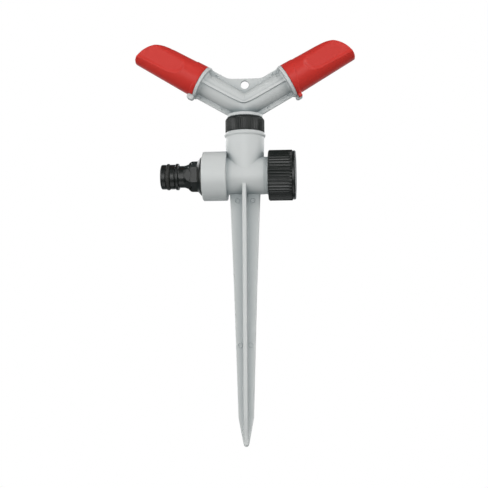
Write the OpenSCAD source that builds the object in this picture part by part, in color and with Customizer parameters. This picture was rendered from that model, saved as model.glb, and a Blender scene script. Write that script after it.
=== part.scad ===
// Two-arm rotary garden sprinkler on a ground spike.
// Origin at the tip of the spike. +Z is up along the spin axis of the rotor head,
// +X runs along the tee from the hose connector to the end cap. Millimetres.

/* [Spike] */
// Height of the water barrel's axis above the tip of the spike
barrel_z = 171; // [150:1:200]
// Width of the spike's cross where it meets the barrel
spike_top_w = 19.7; // [16:0.1:22]
// Width of the spike's cross just above its point
spike_low_w = 9.6; // [8:0.1:12]
// Height of the pointed end
spike_point_h = 18; // [12:1:26]
// Thickness of the spike's two crossed webs
spike_web_t = 2.7; // [2:0.1:3.4]

/* [Tee] */
// Radius of the horizontal barrel
barrel_r = 12.05; // [11.6:0.01:12.2]
// Radius of the vertical pipe under the bead
pipe_r = 12.45; // [12:0.05:12.6]
// Radius of the bead round the top of the pipe
bead_r = 13.2; // [12.8:0.05:13.6]
// Outer radius of the inlet collar
collar_r = 15.8; // [15:0.1:17]
// Wall-to-wall radius of the water way through the barrel
water_r = 9; // [7:0.1:9.6]

/* [Swivel] */
// Outer radius of the swivel nut
nut_r = 12.55; // [12:0.05:13]
// Height of the swivel nut
nut_h = 9.4; // [9:0.1:11]
// Number of knurls round the swivel nut
nut_knurls = 72; // [48:6:96]
// Radius of the spindle's lower journal, which turns in the neck
journal_r = 7.4; // [7:0.05:7.6]
// Radius of the spindle's stem, which is pressed into the rotor head
stem_r = 5.4; // [5.2:0.05:5.6]

/* [Rotor head] */
// Rise of each arm above the horizontal, in degrees
arm_rise = 30; // [27:1:33]
// Height of the point where the two arm axes meet
vertex_z = 216.3; // [215.5:0.1:217.5]
// Outer radius of each arm tube
arm_r = 7.6; // [7:0.1:8]
// Half width of the flat web along each arm
web_half_w = 10.5; // [9.5:0.1:10.8]
// Reach of the front and back ribs from the arm axis
rib_reach = 8.6; // [8.2:0.1:9.4]
// Radius of the flange at each arm's end
flange_r = 11.2; // [11:0.1:12]
// Distance from the vertex to the outer face of each flange
flange_s = 32.9; // [32:0.1:34]
// Radius of the hanging hole between the arms
hang_r = 2.65; // [2:0.05:3]

/* [Nozzles] */
// Length of each nozzle from the flange to its furthest point
nozzle_len = 44.2; // [43:0.1:48]
// Outer radius of a nozzle next to its rim
nozzle_base_r = 10.9; // [10.4:0.1:11]
// Outer radius of a nozzle at its far end
nozzle_end_r = 9.8; // [9.4:0.05:10]
// Wall thickness of the nozzle's hood
hood_wall = 1.4; // [1.2:0.1:1.6]
// Radius of the jet's orifice
orifice_r = 1.3; // [0.8:0.1:2]

/* [Connector and cap] */
// Radius of the connector's nose
nose_r = 7.95; // [7.9:0.01:8]
// Distance from the spin axis to the connector's tip
connector_x = 54; // [53:0.1:56]
// Outer radius over the end cap's ribs
cap_r = 16.2; // [16:0.1:17]
// Number of ribs round the end cap
cap_ribs = 48; // [36:2:60]

/* [Hidden] */
$fn = 96;
eps = 0.01;

// spike
spike_mid_w = 14.7;
spike_mid_z = 100;
spike_flare_z = barrel_z - 8;
tip_r = 1.75;
tip_half_w = 1.68;
tip_shoulder_z = 1.2;

// inlet collar and its half-inch thread
collar_x0 = 27;
collar_x1 = 11.2;
collar_edge = 1;
socket_r = 10.48;
socket_depth = 12;

// outlet spigot and its three-quarter-inch thread
outlet_thread_r = 13.1;
outlet_thread_x = 16.5;
outlet_x = 29.3;

// neck that the swivel nut screws on to
neck_fit = 0.07;
bead_z = 197.2;
bead_half_h = 1.7;
neck_r = 10.5;
neck_top = 203.3;
neck_bore_z = 190;
pipe_bore_r = 8.5;
pipe_root_r = 11.75;

// stack inside the swivel nut, from the neck upwards
seal_t = 1.3;
seal_r = 9.4;
lower_washer_t = 0.8;
upper_washer_t = 0.9;
washer_r = 10.2;
flange_gap = 0.05;
spindle_flange_t = 1.45;
spindle_flange_r = 9.9;
spindle_flange_z = neck_top + lower_washer_t + flange_gap;
upper_washer_z = spindle_flange_z + spindle_flange_t + flange_gap;
nut_z = 198.9;
nut_top = nut_z + nut_h;
nut_ceiling = upper_washer_z + upper_washer_t;
nut_thread_r = neck_r + 0.05;
nut_knurl_h = 0.22;
nut_edge_r = 1.8;
crown_r = nut_r - nut_knurl_h - 0.06;

// spindle
spindle_foot = 194;
spindle_top = 213.6;
spindle_bore_r = 3.5;
stem_fit = 0.08;
stem_ring_z = 211;
stem_ring_r = 0.6;
stem_groove_w = 1.5;

// rotor head
head_bottom = nut_top + 0.2;
hub_r = 11.3;
hub_h = 2.1;
hub_wall = 0.6;
web_t = 2;
rib_t = 2.1;
gusset_top = 234.6;
hang_z = 230.4;
arm_bore_r = 5;
chamber_r = 4.6;
chamber_h = 9.3;
flange_t = 2.1;
ledge_r = 13.6;
ledge_depth = 3.4;
ledge_s = flange_s - 1.8;
ledge_len = 4.7;
ledge_w = 4.6;
ledge_y = 0.4;
ledge_gap = 0.15;

// spigot that a nozzle turns on
spigot_r = 8;
spigot_end = flange_s + 13.7;
snap_r = 8.45;
snap_s = flange_s + 11.2;
snap_w = 1.2;
arm_ring_s = flange_s + 5.1;
arm_ring_r = 0.61;
arm_ring_mid_r = 7.42;
arm_groove_w = 1.6;
jet_r = 5.6;
jet_len = 4;
jet_rim_r = 6.6;
jet_rim_t = 0.8;

// nozzle
turn_fit = 0.05;
nozzle_gap = 0.1;
nozzle_s = flange_s + nozzle_gap;
rim_w = 2;
rim_r = 11;
nozzle_end = flange_s + nozzle_len;
hood_s = spigot_end + jet_rim_t + 0.2;
tab_r = 13.3;
tab_t = 2.4;
tab_w = 2.6;
tab_gap = 0.1;
snap_slack = 0.3;
snap_depth = 0.2;
facet_s = flange_s + 13.5;
facet_near = 9.2;
facet_far = 7.15;
facet_half_w = 7;
end_arc_r = 17.85;
end_arc_t = -8;
end_corner_r = 2.45;

// hose connector, with distances from the spin axis
thread_r = 10.4;
thread_x = 17.3;
thread_chamfer = 0.8;
connector_bore_r = 5.4;
connector_bore_x = 14.9;
nose_edge = 1;
nose_x = 50.75;
land_r = 7.8;
land_x0 = 47.7;
land_x1 = 44.6;
ridge_r = 8.55;
ridge_x0 = 43.85;
ridge_x1 = 43.15;
connector_neck_r = 7.05;
connector_neck_x0 = 41.1;
connector_neck_x1 = 37.2;
shank_r = 8.4;
shank_x = 35.6;
hex_r = 10;
hex_x0 = 33.7;
hex_x1 = 29.6;
connector_flange_r = 12.25;
connector_flange_x = 28.6;
connector_ring_x = 49.25;
connector_ring_r = 1.4;
connector_groove_r = 5.7;
connector_groove_w = 3;
washer_slack = 0.2;
washer_lip = 1;

// end cap
cap_x0 = 15;
cap_x1 = 30.4;
cap_end_x = 32.5;
cap_end_r = 15.7;
cap_groove_r = 15.1;
cap_edge = 1;
cap_bore_r = 13.25;
cap_washer_r = 13.1;
cap_washer_t = 1.6;
cap_rib_h = 0.55;

// ---------- helpers ----------

// turns +Z into +X
module along_x() {
    rotate([0, 90, 0]) children();
}

// stands the XY outline of a flat shape up in the XZ plane, centred on Y = 0
module in_xz(thickness) {
    rotate([90, 0, 0]) linear_extrude(thickness, center = true) children();
}

// an arm's own frame: +Z out along the arm, +X down across it
module arm_frame(turn) {
    rotate([0, 0, turn]) translate([0, 0, vertex_z]) rotate([0, 90 - arm_rise, 0]) children();
}

// both arms, half a turn apart about the spin axis
module both_arms() {
    for (turn = [0, 180]) arm_frame(turn) children();
}

// ring of round section
module ring(mid_r, section_r) {
    rotate_extrude() translate([mid_r, 0]) circle(section_r, $fn = 32);
}

// flat washer standing on Z = 0
module washer(outer_r, inner_r, thickness) {
    difference() {
        cylinder(r = outer_r, h = thickness);
        translate([0, 0, -eps]) cylinder(r = inner_r, h = thickness + 2 * eps);
    }
}

// quarter of a rounded corner, counter-clockwise from angle a0
function corner(x, y, r, a0) = [for (a = [a0 : 30 : a0 + 90]) [x + r * cos(a), y + r * sin(a)]];

// disc standing on Z = 0 with both edges rounded
module disc(r, h, edge) {
    rotate_extrude() polygon(concat([[0, 0]], corner(r - edge, edge, edge, -90),
        corner(r - edge, h - edge, edge, 0), [[0, h]]));
}

// outline of a wheel with pointed ribs
module ribbed_outline(outer_r, depth, count) {
    polygon([for (i = [0 : 2 * count - 1])
        let (r = i % 2 == 0 ? outer_r : outer_r - depth, a = 180 * i / count)
        [r * cos(a), r * sin(a)]]);
}

// ---------- body: tee and spike in one moulding ----------

module spike_outline() {
    half = [for (p = [[spike_low_w, spike_point_h], [spike_mid_w, spike_mid_z],
                      [spike_top_w, spike_flare_z], [spike_top_w, barrel_z]]) [p[0] / 2, p[1]]];
    right = concat([[tip_half_w, tip_shoulder_z]], half);
    left = [for (i = [len(right) - 1 : -1 : 0]) [-right[i][0], right[i][1]]];
    polygon(concat(right, left));
    translate([0, tip_r]) circle(tip_r);
}

module spike() {
    difference() {
        for (turn = [0, 90]) rotate([0, 0, turn]) in_xz(spike_web_t) spike_outline();
        translate([0, 0, barrel_z]) along_x() cylinder(r = water_r + 1, h = 60, center = true);
    }
}

module body() {
    color([0.76, 0.78, 0.78]) difference() {
        union() {
            spike();
            // barrel, collar and outlet
            translate([0, 0, barrel_z]) along_x() {
                translate([0, 0, -collar_x0]) cylinder(r = barrel_r, h = collar_x0 + outlet_x);
                translate([0, 0, -collar_x0]) disc(collar_r, collar_x0 - collar_x1, collar_edge);
                translate([0, 0, outlet_thread_x])
                    cylinder(r = outlet_thread_r, h = outlet_x - outlet_thread_x);
            }
            // pipe, bead and threaded neck
            translate([0, 0, barrel_z])
                cylinder(r1 = pipe_root_r, r2 = pipe_r, h = bead_z - barrel_z);
            translate([0, 0, bead_z]) ring(bead_r - bead_half_h, bead_half_h);
            translate([0, 0, bead_z - bead_half_h]) cylinder(r = bead_r - bead_half_h, h = 2 * bead_half_h);
            translate([0, 0, bead_z]) cylinder(r = neck_r, h = neck_top - bead_z);
        }
        translate([0, 0, barrel_z]) {
            // water way and inlet socket
            along_x() translate([0, 0, -collar_x0 - eps])
                cylinder(r = water_r, h = collar_x0 + outlet_x + 2 * eps);
            along_x() translate([0, 0, -collar_x0 - eps]) cylinder(r = socket_r, h = socket_depth + eps);
            cylinder(r = pipe_bore_r, h = neck_bore_z - barrel_z);
            cylinder(r = journal_r + neck_fit, h = neck_top - barrel_z + eps);
        }
        // seat of the neck seal
        translate([0, 0, neck_top - seal_t]) cylinder(r = seal_r, h = seal_t + eps);
    }
}

// ---------- swivel ----------

module neck_seal() {
    color([0.1, 0.1, 0.1]) translate([0, 0, neck_top - seal_t])
        washer(seal_r, journal_r + neck_fit, seal_t);
}

module lower_washer() {
    color([0.93, 0.92, 0.88]) translate([0, 0, neck_top])
        washer(washer_r, journal_r + neck_fit, lower_washer_t);
}

module upper_washer() {
    color([0.93, 0.92, 0.88]) translate([0, 0, upper_washer_z])
        washer(washer_r, stem_r + stem_fit, upper_washer_t);
}

module swivel_nut() {
    color([0.14, 0.15, 0.14]) difference() {
        union() {
            translate([0, 0, nut_z]) linear_extrude(nut_h - nut_edge_r)
                ribbed_outline(nut_r, nut_knurl_h, nut_knurls);
            // smooth crown with a rounded edge
            translate([0, 0, nut_top - nut_edge_r]) rotate_extrude() {
                translate([0, -1]) square([crown_r, 1]);
                translate([0, -eps]) square([crown_r - nut_edge_r, nut_edge_r + eps]);
                translate([crown_r - nut_edge_r, 0]) circle(nut_edge_r);
            }
        }
        translate([0, 0, nut_z - eps]) cylinder(r = nut_thread_r, h = nut_ceiling - nut_z + eps);
        translate([0, 0, nut_z]) cylinder(r = stem_r + stem_fit, h = nut_h + eps);
    }
}

module spindle() {
    color([0.9, 0.9, 0.87]) difference() {
        union() {
            translate([0, 0, spindle_foot]) cylinder(r = journal_r, h = spindle_flange_z - spindle_foot);
            translate([0, 0, spindle_flange_z]) cylinder(r = spindle_flange_r, h = spindle_flange_t);
            translate([0, 0, spindle_flange_z]) cylinder(r = stem_r, h = spindle_top - spindle_flange_z);
        }
        translate([0, 0, spindle_foot - eps]) cylinder(r = spindle_bore_r, h = spindle_top);
        // groove of the stem's O-ring
        translate([0, 0, stem_ring_z - stem_groove_w / 2])
            washer(stem_r + 1, stem_r - 2 * stem_ring_r, stem_groove_w);
    }
}

module spindle_o_ring() {
    color([0.1, 0.1, 0.1]) translate([0, 0, stem_ring_z]) ring(stem_r - stem_ring_r, stem_ring_r);
}

// ---------- rotor head ----------

// outline of one arm's flat strip, half_w to each side of the arm axis
module strip_outline(half_w, reach) {
    intersection() {
        translate([-eps, head_bottom + 0.5]) square([60, 60]);
        translate([0, vertex_z]) rotate(arm_rise)
            translate([-20, -half_w]) square([20 + reach, 2 * half_w]);
    }
}

module v_outline(half_w, reach) {
    for (side = [0, 1]) mirror([side, 0]) strip_outline(half_w, reach);
}

// plate that fills the V between the arms
module gusset_outline() {
    half_w = (gusset_top - vertex_z - web_half_w / cos(arm_rise)) / tan(arm_rise);
    polygon([[-half_w, gusset_top], [half_w, gusset_top], [0, vertex_z]]);
}

module arm_tubes() {
    for (side = [0, 1]) mirror([side, 0, 0]) intersection() {
        arm_frame(0) translate([0, 0, -15]) cylinder(r = arm_r, h = 15 + flange_s - 0.6);
        translate([0, -20, head_bottom + 1]) cube([60, 40, 60]);
    }
}

// ledge under the flange, square where the nozzle's tab stops on it and rounded at its far end
module stop_ledge() {
    end_r = ledge_depth / 2;
    difference() {
        translate([ledge_r - ledge_depth, ledge_y, ledge_s]) linear_extrude(ledge_len) {
            square([ledge_depth, ledge_w - end_r]);
            translate([end_r, ledge_w - end_r]) circle(end_r, $fn = 48);
        }
        // room for the nozzle's rim
        translate([0, 0, flange_s]) cylinder(r = rim_r + ledge_gap, h = ledge_len);
    }
}

module spigot() {
    difference() {
        union() {
            translate([0, 0, flange_s - 1.5]) cylinder(r = spigot_r, h = spigot_end - flange_s + 1.5);
            // snap ring that holds the nozzle
            translate([0, 0, snap_s]) cylinder(r = snap_r, h = snap_w);
        }
        translate([0, 0, arm_ring_s - arm_groove_w / 2])
            washer(spigot_r + 1, arm_ring_mid_r - arm_ring_r, arm_groove_w);
    }
}

module rotor_head() {
    color([0.76, 0.78, 0.78]) difference() {
        union() {
            in_xz(web_t) {
                v_outline(web_half_w, flange_s - 1.2);
                gusset_outline();
            }
            in_xz(2 * rib_reach) v_outline(rib_t / 2, flange_s - 0.9);
            arm_tubes();
            translate([0, 0, head_bottom]) cylinder(r = hub_r, h = hub_h);
            translate([0, 0, head_bottom]) cylinder(r = stem_r + hub_wall, h = 3 * hub_h);
            both_arms() {
                translate([0, 0, flange_s - flange_t]) cylinder(r = flange_r, h = flange_t);
                stop_ledge();
                spigot();
            }
        }
        // water way from the spindle into both arms
        translate([0, 0, head_bottom - eps]) cylinder(r = stem_r + 0.02, h = spindle_top - head_bottom);
        translate([0, 0, head_bottom]) cylinder(r = chamber_r, h = chamber_h);
        both_arms() {
            translate([0, 0, arm_bore_r * tan(arm_rise) + 0.05]) cylinder(r = arm_bore_r, h = spigot_end);
            translate([0, 0, spigot_end - jet_len]) cylinder(r = jet_r + 0.02, h = jet_len + eps);
        }
        // hanging hole
        translate([0, 0, hang_z]) rotate([90, 0, 0]) cylinder(r = hang_r, h = 10, center = true);
    }
}

// pressed-in plug with the orifice that the arm's water leaves by
module arm_jet(turn) {
    color([0.9, 0.9, 0.87]) arm_frame(turn) difference() {
        union() {
            translate([0, 0, spigot_end - jet_len]) cylinder(r = jet_r, h = jet_len);
            translate([0, 0, spigot_end]) cylinder(r = jet_rim_r, h = jet_rim_t);
        }
        translate([0, 0, spigot_end - jet_len - eps])
            cylinder(r1 = jet_r - 1, r2 = orifice_r, h = jet_len - 1);
        translate([0, 0, spigot_end - jet_len]) cylinder(r = orifice_r, h = jet_len + jet_rim_t + eps);
    }
}

module arm_o_ring(turn) {
    color([0.1, 0.1, 0.1]) arm_frame(turn) translate([0, 0, arm_ring_s])
        ring(arm_ring_mid_r, arm_ring_r);
}

// ---------- nozzles ----------

// outline of the slanted, rounded end seen from the front, X out along the arm
module end_outline() {
    arc_x = nozzle_end - end_arc_r;
    reach = 2 * nozzle_base_r;
    translate([0, -reach]) square([arc_x, 2 * reach]);
    intersection() {
        translate([arc_x, end_arc_t]) circle(end_arc_r);
        translate([arc_x - eps, end_arc_t]) square(2 * end_arc_r);
    }
    translate([0, end_arc_t - reach]) square([nozzle_end - end_corner_r, reach + eps]);
    translate([nozzle_end - end_corner_r, end_arc_t]) circle(end_corner_r);
}

// flat on the front of the hood that leans in towards the end
module facet_cut() {
    intersection() {
        rotate([90, 0, 90]) linear_extrude(40, center = true)
            polygon([[-facet_near, facet_s], [-facet_far, nozzle_end + 1],
                     [-20, nozzle_end + 1], [-20, facet_s]]);
        rotate([90, -90, 0]) linear_extrude(40) {
            translate([facet_s + facet_half_w, 0]) circle(facet_half_w);
            translate([facet_s + facet_half_w, -facet_half_w]) square([60, 2 * facet_half_w]);
        }
    }
}

// tapered solid that the hood is cut from, grown by a wall thickness
module hood_solid(wall) {
    translate([0, 0, nozzle_s])
        cylinder(r1 = nozzle_base_r - wall, r2 = nozzle_end_r - wall, h = nozzle_len);
}

module nozzle(turn) {
    color([0.76, 0.2, 0.18]) arm_frame(turn) difference() {
        union() {
            intersection() {
                difference() {
                    hood_solid(0);
                    for (side = [0, 1]) mirror([0, side, 0]) facet_cut();
                }
                rotate([90, -90, 0]) linear_extrude(40, center = true) end_outline();
            }
            translate([0, 0, nozzle_s]) cylinder(r = rim_r, h = rim_w);
            // tab that stops on the ledge
            translate([nozzle_base_r - 1, ledge_y - tab_gap - tab_t, nozzle_s])
                cube([tab_r - nozzle_base_r + 1, tab_t, tab_w]);
        }
        // bearing on the spigot and groove for the snap ring
        translate([0, 0, nozzle_s - eps]) cylinder(r = spigot_r + turn_fit, h = hood_s - nozzle_s);
        translate([0, 0, snap_s - snap_slack])
            cylinder(r = snap_r + snap_depth, h = snap_w + 2 * snap_slack);
        // hollow of the hood
        intersection() {
            hood_solid(hood_wall);
            translate([-20, -facet_far + hood_wall, hood_s - 2 * eps])
                cube([40, 2 * (facet_far - hood_wall), 60]);
        }
    }
}

// ---------- hose connector ----------

module connector_outline() {
    polygon([[0, -connector_x], [nose_r - nose_edge, -connector_x],
             [nose_r - nose_edge / 4, -connector_x + nose_edge / 4],
             [nose_r, -connector_x + nose_edge], [nose_r, -nose_x],
             [land_r, -land_x0], [land_r, -land_x1], [ridge_r, -ridge_x0], [ridge_r, -ridge_x1],
             [connector_neck_r, -connector_neck_x0], [connector_neck_r, -connector_neck_x1],
             [shank_r, -shank_x], [shank_r, -hex_x1], [hex_r, -hex_x1 - 1],
             [connector_flange_r, -connector_flange_x], [connector_flange_r, -collar_x0],
             [thread_r, -collar_x0], [thread_r, -thread_x - thread_chamfer],
             [thread_r - thread_chamfer, -thread_x], [0, -thread_x]]);
}

module hose_connector() {
    color([0.13, 0.14, 0.13]) translate([0, 0, barrel_z]) along_x() difference() {
        union() {
            rotate_extrude() connector_outline();
            // hexagon for a spanner, tapered towards the neck
            intersection() {
                translate([0, 0, -connector_neck_x1])
                    cylinder(r = hex_r, h = connector_neck_x1 - hex_x1, $fn = 6);
                rotate_extrude() polygon([[0, -connector_neck_x1],
                    [connector_neck_r, -connector_neck_x1], [hex_r, -hex_x0],
                    [hex_r, -hex_x1], [0, -hex_x1]]);
            }
        }
        translate([0, 0, -connector_x - eps])
            cylinder(r = connector_bore_r, h = connector_x - connector_bore_x);
        translate([0, 0, -connector_ring_x - connector_groove_w / 2])
            washer(nose_r + 1, connector_groove_r, connector_groove_w);
    }
}

module connector_o_ring() {
    color([0.1, 0.1, 0.09]) translate([-connector_ring_x, 0, barrel_z]) along_x()
        ring(connector_groove_r + connector_ring_r, connector_ring_r);
}

module connector_washer() {
    color([0.1, 0.1, 0.1]) translate([-thread_x, 0, barrel_z]) along_x()
        washer(thread_r - washer_slack, connector_bore_r + washer_lip,
               thread_x + socket_depth - collar_x0);
}

// ---------- end cap ----------

module end_cap() {
    cap_len = cap_x1 - cap_x0;
    color([0.13, 0.14, 0.13]) translate([0, 0, barrel_z]) along_x() difference() {
        union() {
            translate([0, 0, cap_x0]) intersection() {
                linear_extrude(cap_len) ribbed_outline(cap_r, cap_rib_h, cap_ribs);
                rotate_extrude() polygon(concat([[0, 0]],
                    corner(cap_r - cap_edge, cap_edge, cap_edge, -90), [[cap_r, cap_len], [0, cap_len]]));
            }
            // groove behind the ribs and the end disc
            translate([0, 0, cap_x0 + cap_len / 2]) cylinder(r = cap_groove_r, h = cap_len / 2 + 0.5);
            translate([0, 0, cap_x1]) rotate_extrude() polygon(concat([[0, 0], [cap_end_r, 0]],
                corner(cap_end_r - cap_edge, cap_end_x - cap_x1 - cap_edge, cap_edge, 0),
                [[0, cap_end_x - cap_x1]]));
        }
        translate([0, 0, cap_x0 - eps])
            cylinder(r = cap_bore_r, h = outlet_x + cap_washer_t - cap_x0);
    }
}

module end_cap_washer() {
    color([0.1, 0.1, 0.1]) translate([outlet_x, 0, barrel_z]) along_x()
        washer(cap_washer_r, water_r, cap_washer_t - 2 * eps);
}

body();
neck_seal();
lower_washer();
upper_washer();
swivel_nut();
spindle();
spindle_o_ring();
rotor_head();
arm_jet(180);  // arm_jet_left
arm_jet(0);  // arm_jet_right
arm_o_ring(180);  // arm_o_ring_left
arm_o_ring(0);  // arm_o_ring_right
nozzle(180);  // nozzle_left
nozzle(0);  // nozzle_right
hose_connector();
connector_o_ring();
connector_washer();
end_cap();
end_cap_washer();
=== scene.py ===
"""Looks of a two-arm rotary garden sprinkler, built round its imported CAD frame.

Each moulding with blended shapes is a distance field in millimetres: negative inside,
zero on the surface. surface_mesh() turns a field into a closed mesh, so that every edge
has its radius and every joint its fillet. Knurled and ribbed pieces are turned instead,
by turned_mesh(). Sizes come from the frame's boxes and from the values named below.
"""

import math

import bpy
import numpy as np
from mathutils import Matrix, Vector


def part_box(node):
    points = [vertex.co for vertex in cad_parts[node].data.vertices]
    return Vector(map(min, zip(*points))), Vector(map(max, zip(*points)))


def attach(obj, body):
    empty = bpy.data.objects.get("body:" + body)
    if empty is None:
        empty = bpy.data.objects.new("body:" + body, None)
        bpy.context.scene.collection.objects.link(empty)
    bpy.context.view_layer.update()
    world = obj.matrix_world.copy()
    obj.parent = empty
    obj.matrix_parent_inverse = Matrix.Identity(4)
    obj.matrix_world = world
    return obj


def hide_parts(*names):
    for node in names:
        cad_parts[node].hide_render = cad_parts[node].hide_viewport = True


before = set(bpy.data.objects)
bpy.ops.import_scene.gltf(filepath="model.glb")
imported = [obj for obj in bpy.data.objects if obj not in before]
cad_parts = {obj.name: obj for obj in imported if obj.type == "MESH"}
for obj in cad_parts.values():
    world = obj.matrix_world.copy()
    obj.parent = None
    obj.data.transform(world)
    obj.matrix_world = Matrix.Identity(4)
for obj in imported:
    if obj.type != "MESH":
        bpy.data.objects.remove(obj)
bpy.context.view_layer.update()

MM = 0.001


def box_mm(node):
    """Lowest and highest corners of a CAD node, in millimetres."""
    low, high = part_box(node)
    return np.array(low) / MM, np.array(high) / MM


# ---------- sizes in millimetres ----------

BODY_LOW, BODY_HIGH = box_mm("body")
CAP_LOW, CAP_HIGH = box_mm("end_cap")
NUT_LOW, NUT_HIGH = box_mm("swivel_nut")
HEAD_LOW, HEAD_HIGH = box_mm("rotor_head")
CONNECTOR_LOW, CONNECTOR_HIGH = box_mm("hose_connector")
NECK_SEAL_LOW, NECK_SEAL_HIGH = box_mm("neck_seal")

# tee and spike
AXIS_Z = (CAP_LOW[2] + CAP_HIGH[2]) / 2
COLLAR_R = BODY_HIGH[1]
COLLAR_X = (BODY_LOW[0], -11.2)
OUTLET_X = BODY_HIGH[0]
BARREL_R = 12.05
# the barrel is a little slimmer from RELIEF_X towards the outlet
RELIEF_X, RELIEF_DEPTH = 12.6, 0.15
WATER_R = 9.0
SOCKET_R = 10.48
SOCKET_X = BODY_LOW[0] + 12
PIPE_ROOT_R, PIPE_TOP_R = 11.75, 12.45
PIPE_BORE_R, NECK_BORE_R = 8.5, 7.47
BEAD_R, BEAD_HALF = 13.2, 1.7
BEAD_Z = NUT_LOW[2] - BEAD_HALF
NECK_R = 10.5
NECK_TOP = BODY_HIGH[2]
NECK_BORE_Z = 190.0
SPIKE_Z = (1.2, 18, 100, AXIS_Z - 8, AXIS_Z)
SPIKE_HALF = (1.68, 4.8, 7.35, 9.85, 9.85)
# the spike ends this far under the barrel's axis
SPIKE_SINK = 4.6
# the front and back webs grow wider than the side webs over this height
FRONT_EXTRA = 0.35
FRONT_EXTRA_Z = (60, AXIS_Z - 10)
WEB_HALF = 1.35
TIP_R = 1.75
# rings that the ejector pins leave on the side webs: places, radius, half width, height
SPIKE_MARKS = ((5.1, AXIS_Z - 16.6), (3.6, AXIS_Z - 108))
SPIKE_MARK_R, SPIKE_MARK_HALF, SPIKE_MARK_H = 1.4, 0.3, 0.24

# three-quarter-inch pipe thread of the outlet and the cap
PITCH = 1.814
THREAD_CREST, THREAD_ROOT = 13.1, 12.06
THREAD_X = 16.5

# rotor head
RISE = math.radians(30)
VERTEX_Z = 216.3
ARM_R = 7.6
# raised pad along the upper side of each arm's tube
PAD_S, PAD_T, PAD_H = (-30, 27.4), (-9, -3.8), 0.22
PLATE_HALF_W = 10.5
PLATE_HALF_T = 1.0
RIB_HALF_W = 1.05
RIB_REACH = 8.6
FLANGE_R, FLANGE_S, FLANGE_T = 11.2, 32.9, 2.1
HUB_R, HUB_H = 11.3, 2.1
# the tubes and the plate start this far over the hub's underside
HUB_FLOOR = 0.6
BOSS_WALL, BOSS_H = 0.6, 6.3
# round marks of the ejector pins on the plate, as places along and across an arm
HEAD_MARKS = ((25.6, -9.1), (27.3, 9.1), (12.6, 9.1))
HEAD_MARK_R, HEAD_MARK_H = 0.7, 0.35
GUSSET_TOP = 234.6
HANG_Z, HANG_R = 230.4, 2.65
ARM_BORE_R = 5.0
# the stem's bore ends below the vertex and the water chamber above it
STEM_R, STEM_DROP = 5.4, 2.7
CHAMBER_R, CHAMBER_RISE = 4.6, 1.5
JET_SEAT_R, JET_SEAT_DEPTH = 5.62, 4
SPIGOT_R, SPIGOT_END = 8.0, FLANGE_S + 13.7
SNAP_R, SNAP_S, SNAP_W = 8.45, FLANGE_S + 11.2, 1.2
SNAP_DEPTH, SNAP_SLACK = 0.2, 0.3
RING_S, RING_FLOOR_R, RING_HALF = FLANGE_S + 5.1, 6.81, 0.8
LEDGE_T, LEDGE_Q, LEDGE_S = (10.2, 13.6), (0.4, 5.0), (FLANGE_S - 1.8, FLANGE_S + 2.9)

# nozzle, in its arm's frame: s out along the arm, t down across it, q sideways
NOZZLE_S, NOZZLE_END = FLANGE_S + 0.1, FLANGE_S + 44.19
NOZZLE_R, NOZZLE_END_R = 10.9, 9.8
BAND_H, BAND_GAP = 0.3, 0.15
# width of the raised band round the hood, by angle from its top (0) to its underside (180)
BAND_ANGLES = (-180, -150, -110, -90, -45, 0, 30, 50, 95, 125, 150, 180)
BAND_WIDTHS = (2.5, 2.2, 4.6, 5.4, 7.2, 8.1, 7.6, 1.0, 0.8, 2.6, 2.4, 2.5)
BEARING_R, BEARING_END = 8.05, SPIGOT_END + 1
FACET_S, FACET_NEAR, FACET_FAR = FLANGE_S + 13.5, 9.2, 7.15
# round start of each flat, centred FACET_RISE over the hood's axis, with a soft run-out
FACET_START, FACET_ARC_R, FACET_RISE = FLANGE_S + 11.3, 10.7, 2.5
FACET_RUN_OUT = 4.5
HOOD_WALL = 1.4
END_ARC_R, END_ARC_T, END_CORNER_R = 17.85, 8.0, 2.45
TAB_T, TAB_Q, TAB_S = (9.7, 13.3), (-2.1, 0.3), (NOZZLE_S, NOZZLE_S + 2.6)


# ---------- distance fields ----------

def round_join(a, b, r):
    """Union of two fields with a fillet of radius r."""
    reach = np.hypot(np.maximum(r - a, 0), np.maximum(r - b, 0))
    return np.maximum(np.minimum(a, b), r) - reach


def round_meet(a, b, r):
    """Overlap of two fields with its edge rounded to radius r."""
    reach = np.hypot(np.maximum(r + a, 0), np.maximum(r + b, 0))
    return np.minimum(np.maximum(a, b), -r) + reach


def round_cut(a, b, r):
    """Field a with field b taken away, its edge rounded to radius r."""
    return round_meet(a, -b, r)


def soft_abs(v, r):
    """Size of v, rounded at zero."""
    return np.sqrt(v * v + r * r)


def between(v, low, high):
    return np.maximum(low - v, v - high)


def rod(u, v, along, radius, ends, edge):
    """Cylinder with rounded ends, about the axis that u and v are measured from."""
    return round_meet(np.hypot(u, v) - radius, between(along, *ends), edge)


def block(u, v, w, spans, edge):
    """Rounded block from its three spans."""
    flat = round_meet(between(u, *spans[0]), between(v, *spans[1]), edge)
    return round_meet(flat, between(w, *spans[2]), edge)


def thread(angle, along, radius, crest, root, handed_from):
    """Ridge of a right-handed thread: how far a point lies outside its flank."""
    turn = (along - handed_from) / PITCH - angle / (2 * math.pi)
    wave = 0.5 + 0.5 * np.cos(2 * math.pi * turn)
    return (radius - (root + (crest - root) * wave)) * 0.6


def web_field(across, through, z, half_w):
    """One web of the spike: a blade that narrows to a blunt point."""
    blade = np.maximum(np.abs(across) - half_w, TIP_R * 0.7 - z)
    tip = np.hypot(across, z - TIP_R) - TIP_R
    return round_meet(np.minimum(blade, tip), np.abs(through) - WEB_HALF, 0.55)


def swell(distance, width):
    """From 1 inside a shape to 0 outside it, soft across its edge."""
    share = np.clip(0.5 - distance / width, 0, 1)
    return share * share * (3 - 2 * share)


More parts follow.
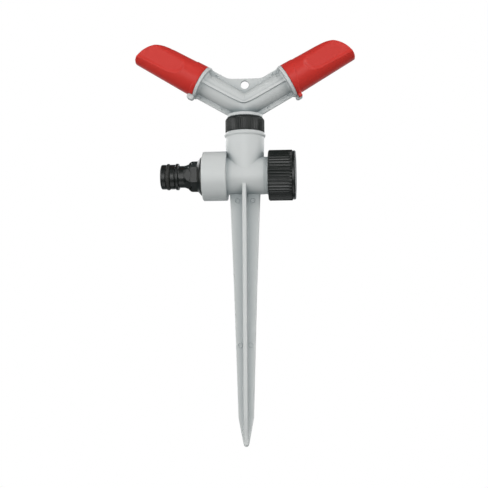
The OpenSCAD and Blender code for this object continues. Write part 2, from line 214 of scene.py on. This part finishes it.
def body_field(x, y, z):
    """The tee and its spike in one moulding; h is the height over the barrel's axis."""
    h = z - AXIS_Z
    from_axis = np.hypot(y, h)
    from_spin = np.hypot(x, y)
    # barrel with its wide inlet collar
    barrel_r = BARREL_R - RELIEF_DEPTH * swell(RELIEF_X - x, 0.5)
    solid = round_meet(from_axis - barrel_r, between(x, BODY_LOW[0] + 1, THREAD_X + 1), 0.4)
    # upright pipe, a little tapered, with its bead and neck
    pipe_r = PIPE_ROOT_R + (PIPE_TOP_R - PIPE_ROOT_R) * np.clip(h / (BEAD_Z - AXIS_Z), 0, 1)
    pipe = round_meet(from_spin - pipe_r, between(z, AXIS_Z, BEAD_Z), 0.2)
    solid = round_join(solid, pipe, 0.2)
    solid = round_join(solid, rod(y, h, x, COLLAR_R, COLLAR_X, 0.9), 0.5)
    bead = np.hypot(from_spin - (BEAD_R - BEAD_HALF), z - BEAD_Z) - BEAD_HALF
    solid = round_join(solid, bead, 0.35)
    solid = np.minimum(solid, rod(x, y, z, NECK_R, (BEAD_Z - 1, NECK_TOP), 0.3))
    # threaded outlet
    angle = np.arctan2(h, y)
    ridge = thread(angle, x, from_axis, THREAD_CREST, THREAD_ROOT, OUTLET_X)
    outlet = round_meet(ridge, between(x, THREAD_X - 2, OUTLET_X), 0.3)
    outlet = np.minimum(outlet, rod(y, h, x, THREAD_ROOT, (THREAD_X, OUTLET_X), 0.4))
    solid = np.minimum(solid, outlet)
    # spike
    half_w = np.interp(z, SPIKE_Z, SPIKE_HALF).astype(z.dtype)
    marks = 0
    for at_x, at_z in SPIKE_MARKS:
        ring = np.abs(np.hypot(np.abs(x) - at_x, z - at_z) - SPIKE_MARK_R) - SPIKE_MARK_HALF
        marks = marks + SPIKE_MARK_H * swell(ring, 0.5)
    side_web = web_field(x, soft_abs(y, 0.01) - marks, z, half_w)
    low, high = FRONT_EXTRA_Z
    extra = FRONT_EXTRA * np.clip((z - low) / (high - low), 0, 1)
    front_web = web_field(y, x, z, half_w + extra)
    spike = round_join(side_web, front_web, 0.7)
    point = np.sqrt(x * x + y * y + (z - TIP_R) ** 2) - TIP_R
    spike = np.where(z < TIP_R, np.maximum(spike, point), spike)
    spike = np.maximum(spike, z - AXIS_Z + SPIKE_SINK)
    solid = round_join(solid, spike, 0.4)
    # water ways
    solid = round_cut(solid, np.maximum(from_axis - WATER_R, -1 - OUTLET_X - x), 0.3)
    solid = round_cut(solid, np.maximum(from_axis - SOCKET_R, x - SOCKET_X), 0.3)
    upright = np.where(z < NECK_BORE_Z, from_spin - PIPE_BORE_R, from_spin - NECK_BORE_R)
    solid = np.maximum(solid, -np.maximum(upright, AXIS_Z - z))
    seal_seat = np.maximum(from_spin - NECK_SEAL_HIGH[0], NECK_SEAL_LOW[2] - z)
    return np.maximum(solid, -seal_seat)


def arm_coordinates(x, z):
    """Distance out along the arm and down across it, for an arm that rises to +X."""
    v = z - VERTEX_Z
    return x * math.cos(RISE) + v * math.sin(RISE), x * math.sin(RISE) - v * math.cos(RISE)


def head_field(x, y, z):
    """The rotor head: two arms on a plate with ribs, over a hub; v is the height over its vertex."""
    v = z - VERTEX_Z
    s, t = arm_coordinates(np.abs(x), z)
    to_flange = s - (FLANGE_S - 0.8)
    above_hub = HEAD_LOW[2] + HUB_FLOOR - z
    # tubes, mitred where they meet
    pad = round_meet(between(s, *PAD_S), between(t, *PAD_T), 1.5)
    tube_r = ARM_R + PAD_H * swell(pad, 0.6)
    tubes = round_meet(np.hypot(t, y) - tube_r, np.maximum(to_flange, above_hub), 0.2)
    # flat plate: a strip along each arm and the gusset between them
    strips = np.abs(t) - PLATE_HALF_W
    gusset = np.maximum(z - GUSSET_TOP, t)
    outline = np.maximum(round_join(strips, gusset, 1.2), np.maximum(to_flange, above_hub))
    marks = 0
    for at_s, at_t in HEAD_MARKS:
        marks = marks + HEAD_MARK_H * swell(np.hypot(s - at_s, t - at_t) - HEAD_MARK_R, 0.6)
    plate = round_meet(outline, np.abs(y) - PLATE_HALF_T - marks, 0.35)
    # ribs along the front and back, rounded where they turn at the vertex
    upper = -arm_coordinates(soft_abs(x, 0.6), z)[1] - RIB_HALF_W
    lower = arm_coordinates(soft_abs(x, 3.2), z)[1] - RIB_HALF_W
    rib = round_meet(np.maximum(upper, lower), np.abs(y) - RIB_REACH, 0.3)
    rib = np.maximum(rib, to_flange)
    solid = round_join(round_join(tubes, plate, 0.35), rib, 0.15)
    # hub over the swivel
    hub = rod(x, y, z, HUB_R, (HEAD_LOW[2], HEAD_LOW[2] + HUB_H), 0.35)
    solid = round_join(solid, hub, 0.6)
    boss = rod(x, y, z, STEM_R + BOSS_WALL, (HEAD_LOW[2], HEAD_LOW[2] + BOSS_H), 0.4)
    solid = round_join(solid, boss, 0.4)
    # flange, ledge and spigot, each the same on both arms after half a turn
    flange = rod(t, y, s, FLANGE_R, (FLANGE_S - FLANGE_T, FLANGE_S), 0.45)
    solid = round_join(solid, flange, 1.6)
    spigot = rod(t, y, s, SPIGOT_R, (FLANGE_S - 1, SPIGOT_END), 0.3)
    snap = rod(t, y, s, SNAP_R, (SNAP_S, SNAP_S + SNAP_W), 0.35)
    groove = np.maximum(RING_FLOOR_R - np.hypot(t, y), np.abs(s - RING_S) - RING_HALF)
    solid = np.minimum(solid, np.maximum(np.minimum(spigot, snap), -groove))
    for side in (-1, 1):
        s1, t1 = arm_coordinates(side * x, z)
        q1 = side * y
        side_view = round_meet(between(t1, *LEDGE_T), between(s1, *LEDGE_S), 1.5)
        ledge = round_meet(side_view, between(q1, *LEDGE_Q), 0.5)
        rim_room = np.maximum(np.hypot(t1, q1) - NOZZLE_R - BAND_H - BAND_GAP, FLANGE_S - s1)
        solid = round_join(solid, np.maximum(ledge, -rim_room), 0.25)
    # water way and hanging hole
    solid = round_cut(solid, np.hypot(x, z - HANG_Z) - HANG_R, 0.3)
    bore = np.maximum(np.hypot(t, y) - ARM_BORE_R, -s)
    jet_seat = np.maximum(np.hypot(t, y) - JET_SEAT_R, SPIGOT_END - JET_SEAT_DEPTH - s)
    stem_bore = np.maximum(np.hypot(x, y) - STEM_R, v + STEM_DROP)
    chamber = np.maximum(np.hypot(x, y) - CHAMBER_R, v - CHAMBER_RISE)
    holes = np.minimum(np.minimum(bore, jet_seat), np.minimum(stem_bore, chamber))
    return np.maximum(solid, -holes)


def past_end(s, t, radius):
    """How far a point lies past an arc that ends the hood, centred END_ARC_T below its axis."""
    back = s - (NOZZLE_END - radius)
    return np.hypot(np.maximum(back, 0), t - END_ARC_T) - radius + 0.6 * np.minimum(back, 0)


def nozzle_field(t, q, s):
    """One spray hood, in its arm's frame."""
    radius = np.hypot(t, q)
    run = (s - NOZZLE_S) / (NOZZLE_END - NOZZLE_S)
    cone_r = NOZZLE_R + (NOZZLE_END_R - NOZZLE_R) * run
    hood = radius - cone_r
    # flats on both sides: they lean in towards the end and run out in a soft round step
    lean = (FACET_NEAR - FACET_FAR) / (NOZZLE_END + 1 - FACET_S)
    off_flat = FACET_NEAR - lean * (s - FACET_S) - np.abs(q)
    centre = FACET_START + FACET_ARC_R
    tongue = np.hypot(t + FACET_RISE, np.minimum(s - centre, 0)) - FACET_ARC_R
    hood = round_cut(hood, round_meet(off_flat, tongue, FACET_RUN_OUT), 0.5)
    # slanted end: a large arc over the top and a small corner below
    slant = np.where(t < END_ARC_T, past_end(s, t, END_ARC_R), past_end(s, t, END_CORNER_R))
    hood = round_meet(hood, slant, 0.45)
    # raised band next to the flange: wide on top and on the side that turns to -q
    angle = np.degrees(np.arctan2(q, -t))
    band_end = FLANGE_S + np.interp(angle, BAND_ANGLES, BAND_WIDTHS).astype(s.dtype)
    band = round_meet(radius - cone_r - BAND_H, s - band_end, 0.25)
    solid = round_join(hood, band, 0.2)
    tab = block(t, q, s, (TAB_T, TAB_Q, TAB_S), 0.5)
    solid = round_join(solid, tab, 0.9)
    solid = round_meet(solid, NOZZLE_S - s, 0.2)
    # bearing with its snap groove, and the hollow of the hood
    bearing = np.maximum(radius - BEARING_R, s - BEARING_END)
    snap_room = between(s, SNAP_S - SNAP_SLACK, SNAP_S + SNAP_W + SNAP_SLACK)
    groove = np.maximum(radius - SNAP_R - SNAP_DEPTH, snap_room)
    hollow = round_meet(radius - cone_r + HOOD_WALL, np.abs(q) - FACET_FAR + HOOD_WALL, 1.5)
    hollow = np.maximum(hollow, BEARING_END - s)
    return round_cut(solid, np.minimum(np.minimum(bearing, groove), hollow), 0.4)


# hose connector: radii, and places along the barrel's axis
CONNECTOR_TIP = CONNECTOR_LOW[0]
CONNECTOR_FLANGE_R = CONNECTOR_HIGH[1]
NOSE_R, NOSE_END_X = 7.95, -45
GROOVE_X, GROOVE_R, GROOVE_HALF = -49.25, 5.7, 1.5
RIDGE_R, RIDGE_X = 8.55, (-44.6, -42.3)
CONNECTOR_NECK_R, CONNECTOR_NECK_X = 7.05, (-46, -30)
HEX_R, HEX_X = 10.0, (-39, -29)
FLAT_ANGLES = (0, math.pi / 3, -math.pi / 3)
FLARE_X, FLARE_SLOPE = -37.6, 0.95
SCOOP_R, SCOOP_X, SCOOP_START_X, SCOOP_DEPTH = 4.35, -38.3, -42.4, 0.1
BELL_R, BELL_X, BELL_LENGTH, BELL_OVERLAP = HEX_R + 0.1, -30, 1.8, 0.2
STUB_R, STUB_END_X = SOCKET_R - 0.1, -17.3
CONNECTOR_BORE_R = 5.4


def connector_field(x, y, z):
    """The click-on hose connector, screwed into the collar of the tee."""
    h = z - AXIS_Z
    from_axis = np.hypot(y, h)
    nose = round_meet(from_axis - NOSE_R, between(x, CONNECTOR_TIP, NOSE_END_X + 5), 1.1)
    nose = np.maximum(nose, x - NOSE_END_X)
    groove = np.maximum(GROOVE_R - from_axis, np.abs(x - GROOVE_X) - GROOVE_HALF)
    nose = round_cut(nose, groove, 0.2)
    ridge = round_meet(from_axis - RIDGE_R, between(x, *RIDGE_X), 0.75)
    neck = np.maximum(from_axis - CONNECTOR_NECK_R, between(x, *CONNECTOR_NECK_X))
    solid = round_join(round_join(nose, neck, 0.4), ridge, 0.5)
    # hexagon with a corner on top, flared out from the neck
    flats = [np.abs(y * math.cos(a) + h * math.sin(a)) for a in FLAT_ANGLES]
    apothem = HEX_R * math.cos(math.pi / 6)
    prism = np.maximum(np.maximum(flats[0], flats[1]), flats[2]) - apothem
    # the factor brings the cone's field back to about a distance
    flare = (from_axis - CONNECTOR_NECK_R - (x - FLARE_X) * FLARE_SLOPE) * 0.7
    hexagon = round_meet(round_meet(prism, flare, 0.6), between(x, *HEX_X), 0.3)
    solid = round_join(solid, hexagon, 1.2)
    # a scoop with a round end in every flat
    for a, away in zip(FLAT_ANGLES, flats):
        across = h * math.cos(a) - y * math.sin(a)
        tongue = np.hypot(across, np.maximum(x - SCOOP_X, 0)) - SCOOP_R
        floor = CONNECTOR_NECK_R - SCOOP_DEPTH - away
        scoop = np.maximum(np.maximum(tongue, floor), SCOOP_START_X - x)
        solid = round_cut(solid, scoop, 0.3)
    # bell that ends in the flange, and the stub inside the collar
    bell_r = BELL_R + (CONNECTOR_FLANGE_R - BELL_R) * np.clip((x - BELL_X) / BELL_LENGTH, 0, 1)
    bell = round_meet(from_axis - bell_r, between(x, BELL_X - BELL_OVERLAP, BODY_LOW[0]), 0.3)
    solid = round_join(solid, bell, 0.4)
    stub = rod(y, h, x, STUB_R, (BODY_LOW[0] - 1, STUB_END_X), 0.6)
    solid = np.minimum(solid, stub)
    return round_cut(solid, from_axis - CONNECTOR_BORE_R, 0.5)


# ---------- meshes ----------

def lines(start, *stretches):
    """Grid lines from start through stretches of (end, spacing)."""
    found = [np.array([start])]
    for end, spacing in stretches:
        count = max(1, round((end - found[-1][-1]) / spacing))
        found.append(np.linspace(found[-1][-1], end, count + 1)[1:])
    return np.concatenate(found).astype(np.float32)


def net_of(field, axes):
    """Points and quads of the surface where the field is zero, one point to a grid cell."""
    values = field(*np.meshgrid(*axes, indexing="ij", sparse=True))
    inside = values < 0
    cells = np.array(values.shape) - 1
    cell_ids, crossings, flips = [], [], []
    for axis in range(3):
        low = [slice(None)] * 3
        high = [slice(None)] * 3
        low[axis], high[axis] = slice(0, -1), slice(1, None)
        edges = np.argwhere(inside[tuple(low)] != inside[tuple(high)])
        ends = edges.copy()
        ends[:, axis] += 1
        v0, v1 = values[tuple(edges.T)], values[tuple(ends.T)]
        share = v0 / (v0 - v1)
        place = np.stack([axes[i][edges[:, i]] for i in range(3)], 1).astype(float)
        place[:, axis] += share * (axes[axis][ends[:, axis]] - axes[axis][edges[:, axis]])
        ring = []
        for db, dc in ((-1, -1), (0, -1), (0, 0), (-1, 0)):
            cell = edges.copy()
            cell[:, (axis + 1) % 3] += db
            cell[:, (axis + 2) % 3] += dc
            ring.append((cell[:, 0] * cells[1] + cell[:, 1]) * cells[2] + cell[:, 2])
        cell_ids.append(np.stack(ring, 1))
        crossings.append(place)
        flips.append(v0 > 0)
    ids = np.concatenate(cell_ids)
    used, corners = np.unique(ids, return_inverse=True)
    corners = corners.reshape(ids.shape)
    place = np.repeat(np.concatenate(crossings), 4, axis=0)
    count = np.bincount(corners.ravel(), minlength=len(used))
    points = np.stack([np.bincount(corners.ravel(), place[:, i], len(used)) / count
                       for i in range(3)], 1)
    flip = np.concatenate(flips)
    corners[flip] = corners[flip][:, ::-1]
    return points, corners


def slope_of(field, points, step=0.02):
    """The field's value and gradient at each point."""
    slope = np.zeros_like(points)
    for i in range(3):
        shift = np.zeros(3)
        shift[i] = step
        slope[:, i] = field(*(points + shift).T) - field(*(points - shift).T)
    return field(*points.T), slope / (2 * step)


def settled(field, points, rounds, reach=0.15):
    """Points moved on to the surface, and the surface's normals there."""
    for _ in range(rounds):
        value, slope = slope_of(field, points)
        size = np.maximum((slope ** 2).sum(1), 0.05)
        points = points - slope * (np.clip(value, -reach, reach) / size)[:, None]
    slope = slope_of(field, points)[1]
    return points, slope / np.maximum(np.linalg.norm(slope, axis=1), 1e-6)[:, None]


def mesh_from(name, points, faces):
    """Mesh from an array of points and an array of faces with equal corner counts."""
    mesh = bpy.data.meshes.new(name)
    mesh.vertices.add(len(points))
    mesh.vertices.foreach_set("co", points.astype(np.float32).ravel())
    mesh.loops.add(faces.size)
    mesh.loops.foreach_set("vertex_index", faces.astype(np.int32).ravel())
    mesh.polygons.add(len(faces))
    mesh.polygons.foreach_set("loop_start", np.arange(0, faces.size, faces.shape[1], dtype=np.int32))
    mesh.update(calc_edges=True)
    mesh.validate()
    return mesh


def add_object(name, mesh):
    obj = bpy.data.objects.new(name, mesh)
    bpy.context.scene.collection.objects.link(obj)
    return obj


def thinned(mesh, most_triangles):
    """The mesh with triangles taken out where it is flat."""
    share = most_triangles / (2 * len(mesh.polygons))
    if share >= 1:
        return mesh
    obj = add_object("thinning", mesh)
    modifier = obj.modifiers.new("thin", "DECIMATE")
    modifier.ratio = share
    graph = bpy.context.evaluated_depsgraph_get()
    thin = bpy.data.meshes.new_from_object(obj.evaluated_get(graph), depsgraph=graph)
    bpy.data.objects.remove(obj)
    return thin


def surface_mesh(name, field, axes, most_triangles):
    """Closed mesh of a field, with the field's own normals."""
    points, quads = net_of(field, axes)
    points = settled(field, points, 1)[0]
    mesh = thinned(mesh_from(name, points, quads), most_triangles)
    points = np.zeros(3 * len(mesh.vertices), np.float32)
    mesh.vertices.foreach_get("co", points)
    points, normals = settled(field, points.reshape(-1, 3).astype(float), 2, 0.05)
    mesh.vertices.foreach_set("co", (points * MM).astype(np.float32).ravel())
    mesh.polygons.foreach_set("use_smooth", np.ones(len(mesh.polygons), bool))
    mesh.update()
    mesh.normals_split_custom_set_from_vertices(normals)
    return mesh


def turned_mesh(name, outline, wheel, count):
    """Closed mesh turned about +Z from (z, radius, rib share) rows; wheel(angle) is the rib's depth."""
    angles = np.arange(count) * 2 * math.pi / count
    z, r, share = np.array(outline, float).T
    radius = r[:, None] - share[:, None] * wheel(angles)[None, :]
    ring = np.stack([radius * np.cos(angles), radius * np.sin(angles),
                     np.broadcast_to(z[:, None], radius.shape)], 2)
    rows, columns = np.meshgrid(np.arange(len(z)), np.arange(count), indexing="ij")
    next_row, next_column = (rows + 1) % len(z), (columns + 1) % count
    quads = np.stack([rows * count + columns, rows * count + next_column,
                      next_row * count + next_column, next_row * count + columns], 2)
    mesh = mesh_from(name, ring.reshape(-1, 3) * MM, quads.reshape(-1, 4))
    mesh.polygons.foreach_set("use_smooth", np.ones(len(mesh.polygons), bool))
    mesh.set_sharp_from_angle(angle=math.radians(38))
    return mesh


def placed(name, mesh, body, material, slot, *nodes, matrix=None):
    """Object made of a mesh: it rides on a body and stands for CAD nodes."""
    if matrix is not None:
        mesh.transform(matrix)
    obj = add_object(name, mesh)
    mesh.materials.append(material)
    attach(obj, body)
    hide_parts(*nodes)


def arm_matrix(turn):
    """From an arm's frame to the row frame."""
    return (Matrix.Rotation(math.radians(turn), 4, "Z")
            @ Matrix.Translation((0, 0, VERTEX_Z * MM))
            @ Matrix.Rotation(math.pi / 2 - RISE, 4, "Y"))


def arc(z, r, radius, start, end, steps, share):
    """Rows of a turned outline along an arc, angles in degrees from +Z towards +r."""
    angles = [math.radians(start + (end - start) * i / steps) for i in range(steps + 1)]
    return [(z + radius * math.cos(a), r + radius * math.sin(a), share) for a in angles]


# ---------- materials ----------

def moulded(name, colour, light, roughness, grain=1.0, specular=0.5, painted_shade=None):
    """Injection-moulded plastic: faint flow marks, uneven gloss and a fine moulded grain; given a shade
    colour, also painted shade that darkens and cools its corners and creases.
    """
    material = bpy.data.materials.new(name)
    material.use_nodes = True
    nodes, links = material.node_tree.nodes, material.node_tree.links
    shader = nodes["Principled BSDF"]
    shader.inputs["IOR"].default_value = 1.49
    shader.inputs["Specular IOR Level"].default_value = specular
    place = nodes.new("ShaderNodeTexCoord")

    def noise(scale, detail, rough=0.5):
        node = nodes.new("ShaderNodeTexNoise")
        node.inputs["Scale"].default_value = scale
        node.inputs["Detail"].default_value = detail
        node.inputs["Roughness"].default_value = rough
        links.new(place.outputs["Object"], node.inputs["Vector"])
        return node

    flow = noise(45, 3)
    tone = nodes.new("ShaderNodeValToRGB")
    tone.color_ramp.elements[0].position = 0.35
    tone.color_ramp.elements[1].position = 0.68
    tone.color_ramp.elements[0].color = (*colour, 1)
    tone.color_ramp.elements[1].color = (*light, 1)
    links.new(flow.outputs["Fac"], tone.inputs["Fac"])
    links.new(tone.outputs["Color"], shader.inputs["Base Color"])
    if painted_shade:
        # painted shade: ambient occlusion darkens the base colour towards a cooler tone in corners,
        # creases and recesses, standing in for shade that the lights don't give
        hollow = nodes.new("ShaderNodeAmbientOcclusion")
        hollow.inputs["Distance"].default_value = 0.012
        share = nodes.new("ShaderNodeMapRange")
        share.inputs["From Min"].default_value = 0.95
        share.inputs["From Max"].default_value = 0.45
        links.new(hollow.outputs["AO"], share.inputs["Value"])
        mix = nodes.new("ShaderNodeMix")
        mix.data_type = "RGBA"
        mix.inputs["B"].default_value = (*painted_shade, 1)
        links.new(share.outputs["Result"], mix.inputs["Factor"])
        links.new(tone.outputs["Color"], mix.inputs["A"])
        links.new(mix.outputs["Result"], shader.inputs["Base Color"])

    gloss = noise(260, 4, 0.6)
    spread = nodes.new("ShaderNodeMapRange")
    spread.inputs["To Min"].default_value = roughness - 0.06
    spread.inputs["To Max"].default_value = roughness + 0.08
    links.new(gloss.outputs["Fac"], spread.inputs["Value"])
    links.new(spread.outputs["Result"], shader.inputs["Roughness"])

    fine = noise(2600, 2)
    broad = noise(120, 1)
    bumps = nodes.new("ShaderNodeBump")
    bumps.inputs["Strength"].default_value = 0.10 * grain
    bumps.inputs["Distance"].default_value = 0.00008
    links.new(fine.outputs["Fac"], bumps.inputs["Height"])
    waves = nodes.new("ShaderNodeBump")
    waves.inputs["Strength"].default_value = 0.12 * grain
    waves.inputs["Distance"].default_value = 0.0006
    links.new(broad.outputs["Fac"], waves.inputs["Height"])
    links.new(bumps.outputs["Normal"], waves.inputs["Normal"])
    links.new(waves.outputs["Normal"], shader.inputs["Normal"])
    return material


# grey plastic with painted shade: a darker, cooler colour painted into its corners and creases
GREY = moulded("grey_plastic", (0.495, 0.500, 0.492), (0.515, 0.520, 0.510), 0.45,
               painted_shade=(0.26, 0.29, 0.295))
RED = moulded("red_plastic", (0.495, 0.025, 0.018), (0.525, 0.030, 0.022), 0.40, specular=0.28)
BLACK = moulded("black_plastic", (0.0050, 0.0062, 0.0052), (0.008, 0.0095, 0.0078), 0.30, 1.6, 0.4)
IVORY = moulded("bearing_plastic", (0.72, 0.71, 0.66), (0.78, 0.77, 0.72), 0.3)
RUBBER = moulded("seal_rubber", (0.016, 0.016, 0.014), (0.024, 0.024, 0.021), 0.55, 1.2, 0.35)


# ---------- pieces ----------

def make_body():
    axes = (lines(BODY_LOW[0] - 1, (BODY_HIGH[0] + 1, 0.37)),
            lines(-COLLAR_R - 1, (COLLAR_R + 1, 0.36)),
            lines(-1.03, (20, 0.45), (60, 1.1), (66, 0.4), (AXIS_Z - 21, 1.1),
                  (NECK_TOP + 1, 0.36)))
    mesh = surface_mesh("body", body_field, axes, 110000)
    placed("tee_and_spike", mesh, "base", GREY, "grey_plastic", "body")


def make_head():
    axes = (lines(HEAD_LOW[0] - 1, (HEAD_HIGH[0] + 1, 0.33)),
            lines(-FLANGE_R - 1, (FLANGE_R + 1, 0.33)),
            lines(HEAD_LOW[2] - 1, (HEAD_HIGH[2] + 1, 0.33)))
    mesh = surface_mesh("head", head_field, axes, 110000)
    placed("head_moulding", mesh, "rotor", GREY, "grey_plastic", "rotor_head")


def make_nozzles():
    axes = (lines(-NOZZLE_R - 1.5, (TAB_T[1] + 1, 0.31)),
            lines(-NOZZLE_R - 1.5, (NOZZLE_R + 1.5, 0.31)),
            lines(NOZZLE_S - 1, (NOZZLE_END + 1, 0.31)))
    mesh = surface_mesh("nozzle", nozzle_field, axes, 70000)
    for side, turn in (("left", 180), ("right", 0)):
        placed(f"spray_hood_{side}", mesh.copy(), f"{side}_nozzle", RED, "red_plastic",
               f"nozzle_{side}", matrix=arm_matrix(turn))


def make_connector():
    axes = (lines(CONNECTOR_TIP - 1, (CONNECTOR_HIGH[0] + 1, 0.26)),
            lines(-CONNECTOR_FLANGE_R - 1, (CONNECTOR_FLANGE_R + 1, 0.26)),
            lines(AXIS_Z - CONNECTOR_FLANGE_R - 1, (AXIS_Z + CONNECTOR_FLANGE_R + 1, 0.26)))
    mesh = surface_mesh("connector", connector_field, axes, 70000)
    placed("click_connector", mesh, "base", BLACK, "black_plastic", "hose_connector")


def ribs(count, depth, sharpness):
    """Depth of the valleys between ribs at an angle, with rounded crests."""
    def wheel(angle):
        wave = 0.5 - 0.5 * np.cos(count * angle)
        return depth * wave ** sharpness
    return wheel


def make_nut():
    radius, depth, knurls = NUT_HIGH[0], 0.36, 72
    crown = 1.9
    low, high = NUT_LOW[2], NUT_HIGH[2]
    bore, stem, ceiling = NECK_R + 0.05, STEM_R + 0.08, high - 1.75
    outline = [(low, bore, 0), (low, radius - 0.5, 0), (low + 0.12, radius - 0.25, 0.4),
               (low + 0.4, radius, 1), (high - crown, radius, 1)]
    outline += arc(high - crown, radius - crown, crown, 80, 30, 5, 0.8)
    outline += arc(high - crown, radius - crown, crown, 20, 0, 2, 0)
    outline += [(high, stem + 0.3, 0), (high - 0.3, stem, 0), (ceiling, stem, 0), (ceiling, bore, 0)]
    mesh = turned_mesh("nut", outline, ribs(knurls, depth, 0.7), knurls * 8)
    placed("knurled_nut", mesh, "base", BLACK, "black_plastic", "swivel_nut")


def make_cap():
    cap_ribs, depth = 48, 0.55
    low, high = CAP_LOW[0], CAP_HIGH[0]
    radius, rib_end, disc_r = CAP_HIGH[1], high - 2.1, 15.7
    low_edge, disc_edge, centre_r = 1.1, 1.0, 0.05
    bore, floor, dish = THREAD_CREST + 0.15, high - 1.6, high - 0.35
    outline = [(low, bore, 0), (low, radius - 1.5, 0)]
    outline += arc(low + low_edge, radius - low_edge, low_edge, 165, 90, 5, 1)
    outline += [(low + 4, radius, 1), (rib_end - 3, radius, 1), (rib_end - 0.25, radius, 1),
                (rib_end - 0.05, radius - 0.3, 0.6), (rib_end, radius - 0.8, 0),
                (rib_end + 0.02, disc_r - 0.45, 0), (rib_end + 0.12, disc_r - 0.12, 0)]
    outline += arc(high - disc_edge, disc_r - disc_edge, disc_edge, 90, 0, 5, 0)
    outline += [(high, disc_r - 2.2, 0), (dish, disc_r - 2.6, 0), (dish, centre_r, 0),
                (floor, centre_r, 0), (floor, bore, 0)]
    mesh = turned_mesh("cap", outline, ribs(cap_ribs, depth, 0.8), cap_ribs * 10)
    turn = Matrix.Translation((0, 0, AXIS_Z * MM)) @ Matrix.Rotation(math.pi / 2, 4, "Y")
    placed("ribbed_cap", mesh, "cap", BLACK, "black_plastic", "end_cap", matrix=turn)


def finish_cad_nodes():
    """Materials for the CAD nodes that stay: seals, washers, spindle and jets."""
    for name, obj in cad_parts.items():
        rubber = "ring" in name or name in ("neck_seal", "connector_washer", "end_cap_washer")
        obj.data.materials.clear()
        obj.data.materials.append(RUBBER if rubber else IVORY)


# ---------- camera, light and stage ----------

def make_camera():
    """Camera below the tee's height, looking a little up, as a product shot has it."""
    distance = 0.700
    azimuth, elevation, roll = math.radians(4.2), math.radians(-6.54), math.radians(0.26)
    target = Vector((-0.95 * MM, 0, 127.1 * MM))
    back = Vector((math.sin(azimuth) * math.cos(elevation),
                   -math.cos(azimuth) * math.cos(elevation), math.sin(elevation)))
    data = bpy.data.cameras.new("camera")
    data.sensor_width = 36
    data.lens = 81.25
    camera = bpy.data.objects.new("camera", data)
    camera.location = target + back * distance
    turn = (-back).to_track_quat("-Z", "Y").to_matrix() @ Matrix.Rotation(-roll, 3, "Z")
    camera.rotation_euler = turn.to_euler()
    bpy.context.scene.collection.objects.link(camera)
    bpy.context.scene.camera = camera


# soft lights: name, place in metres, side in metres, watts
LIGHTS = (("below", (0, -0.2, -1.0), 1.0, 3.9),
          ("front_low", (0, -1.2, -0.15), 0.6, 3.2),
          ("front", (0, -1.3, 0.3), 0.6, 4.5),
          ("front_left", (-0.7, -1.1, 0.35), 0.7, 2.6),
          ("left", (-1.2, -0.3, 0.25), 0.8, 6.3),
          ("right", (1.2, -0.3, 0.25), 0.8, 4.1),
          ("top_left", (-0.7, -0.75, 1.0), 0.7, 3.0),
          ("top_right", (0.7, -0.75, 1.0), 0.7, 7.3),
          ("backdrop", (0, 1.5, 0.17), 2.5, 12),
          ("back_left", (-0.9, 0.9, 0.6), 0.8, 6),
          ("back_right", (0.9, 0.9, 0.6), 0.8, 6))
LIGHT_AIM = Vector((0, 0, 0.17))


def area_light(name, place, size, power):
    data = bpy.data.lights.new(name, "AREA")
    data.shape = "SQUARE"
    data.size = size
    data.energy = power
    light = bpy.data.objects.new(name, data)
    light.location = place
    light.rotation_euler = (LIGHT_AIM - Vector(place)).to_track_quat("-Z", "Y").to_euler()
    light.visible_camera = False
    bpy.context.scene.collection.objects.link(light)


def make_light():
    """Dim cool room light, white only to the camera's own rays, and the soft lights."""
    world = bpy.data.worlds.new("world")
    bpy.context.scene.world = world
    world.use_nodes = True
    nodes, links = world.node_tree.nodes, world.node_tree.links
    room = nodes["Background"]
    room.inputs["Color"].default_value = (0.66, 0.92, 1, 1)
    room.inputs["Strength"].default_value = 0.11
    white = nodes.new("ShaderNodeBackground")
    white.inputs["Color"].default_value = (1, 1, 1, 1)
    mix = nodes.new("ShaderNodeMixShader")
    links.new(nodes.new("ShaderNodeLightPath").outputs["Is Camera Ray"], mix.inputs["Fac"])
    links.new(room.outputs["Background"], mix.inputs[1])
    links.new(white.outputs["Background"], mix.inputs[2])
    links.new(mix.outputs["Shader"], nodes["World Output"].inputs["Surface"])
    for light in LIGHTS:
        area_light(*light)
    bpy.context.scene.view_settings.view_transform = "Standard"


def make_stage():
    """White floor that takes no shadow and throws no light, as in a cut-out product shot."""
    mesh = bpy.data.meshes.new("floor")
    reach = 4
    mesh.from_pydata([(-reach, -reach, 0), (reach, -reach, 0), (reach, reach, 0), (-reach, reach, 0)],
                     [], [(0, 1, 2, 3)])
    floor = add_object("floor", mesh)
    floor.visible_shadow = floor.visible_diffuse = floor.visible_glossy = False
    material = bpy.data.materials.new("floor")
    material.use_nodes = True
    shader = material.node_tree.nodes["Principled BSDF"]
    shader.inputs["Base Color"].default_value = (0, 0, 0, 1)
    shader.inputs["Specular IOR Level"].default_value = 0
    shader.inputs["Emission Color"].default_value = (1, 1, 1, 1)
    shader.inputs["Emission Strength"].default_value = 1
    mesh.materials.append(material)


make_camera()
make_light()
make_stage()
finish_cad_nodes()
make_body()
make_head()
make_nozzles()
make_connector()
make_nut()
make_cap()
